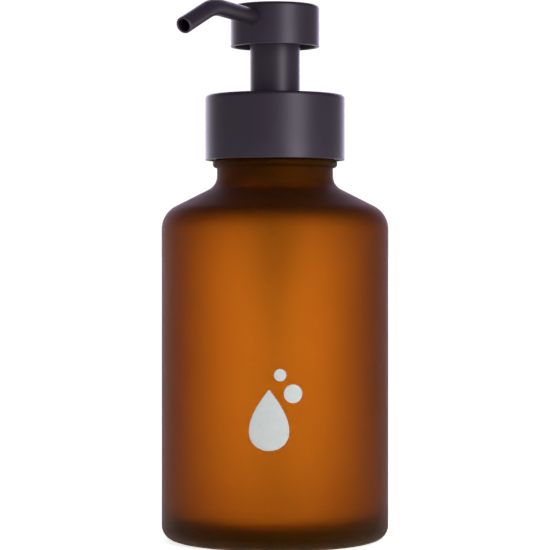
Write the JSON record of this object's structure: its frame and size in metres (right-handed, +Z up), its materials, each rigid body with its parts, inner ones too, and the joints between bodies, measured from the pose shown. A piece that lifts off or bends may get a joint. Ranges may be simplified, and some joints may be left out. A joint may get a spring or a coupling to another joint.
{
  "type": "soap pump dispenser",
  "caption": "Frosted amber glass bottle with a matt black screw-on foaming soap pump: collar, slim neck, round press head and a thin bent spout.",
  "frame": {"origin": "centre of the bottle's foot on the surface it stands on, on the axis of the bottle and the pump", "axes": "+Z up along the axis of the bottle and the pump; at rest the spout points along -Y; +X completes the right-handed frame"},
  "size_m": [0.075, 0.0929, 0.1765],
  "materials": {
    "amber_glass": "frosted outside, smooth inside",
    "black_metal": "matt black coating on stainless steel",
    "black_plastic": "moulded black polypropylene",
    "natural_plastic": "undyed, slightly cloudy polypropylene and polyethylene",
    "soft_seal": "soft white elastomer",
    "steel": "bright stainless steel",
    "nylon_mesh": "woven white nylon"
  },
  "bodies": {
    "bottle": {"bottle": "amber_glass"},
    "engine": {"pump_cylinder": "natural_plastic", "neck_gasket": "soft_seal", "dip_tube": "natural_plastic", "ball_cage": "natural_plastic", "return_spring": "steel"},
    "closure": {"collar_shell": "black_metal", "screw_cap": "black_plastic"},
    "piston": {"piston_stem": "natural_plastic", "liquid_piston": "soft_seal", "foam_chamber": "natural_plastic"},
    "air_piston": {"air_piston": "natural_plastic", "air_valve": "soft_seal"},
    "head": {"head_shell": "black_metal", "actuator_core": "black_plastic", "neck_sleeve": "black_metal", "spout_tube": "black_metal", "spout_seal": "soft_seal", "mesh_holder": "natural_plastic", "coarse_mesh": "nylon_mesh", "fine_mesh": "nylon_mesh"},
    "inlet_ball": {"inlet_ball": "steel"},
    "outlet_ball": {"outlet_ball": "steel"}
  },
  "joints": [
    {"name": "pump_lift", "type": "slide", "parent": "bottle", "child": "engine", "axis": [0, 0, 1], "range_m": [0, 0.00526]},
    {"name": "collar_turn", "type": "hinge", "parent": "engine", "child": "closure", "pos_m": [0, 0, 0.13], "axis": [0, 0, 1], "range_deg": [0, 450]},
    {"name": "pump_press", "type": "slide", "parent": "engine", "child": "piston", "axis": [0, 0, -1], "range_m": [0, 0.012], "stiffness_N_per_m": 600, "springref_m": -0.01, "deforming": ["return_spring"]},
    {"name": "head_swivel", "type": "hinge", "parent": "piston", "child": "head", "pos_m": [0, 0, 0.17], "axis": [0, 0, 1], "continuous": true},
    {"name": "air_piston_play", "type": "slide", "parent": "piston", "child": "air_piston", "axis": [0, 0, 1], "range_m": [0, 0.0008]},
    {"name": "inlet_ball_lift", "type": "slide", "parent": "engine", "child": "inlet_ball", "axis": [0, 0, 1], "range_m": [0, 0.001]},
    {"name": "outlet_ball_lift", "type": "slide", "parent": "piston", "child": "outlet_ball", "axis": [0, 0, 1], "range_m": [0, 0.001]}
  ],
  "couplings": [
    {"joint": "pump_lift", "follows": "collar_turn", "m_per_rad": 0.00066845}
  ]
}
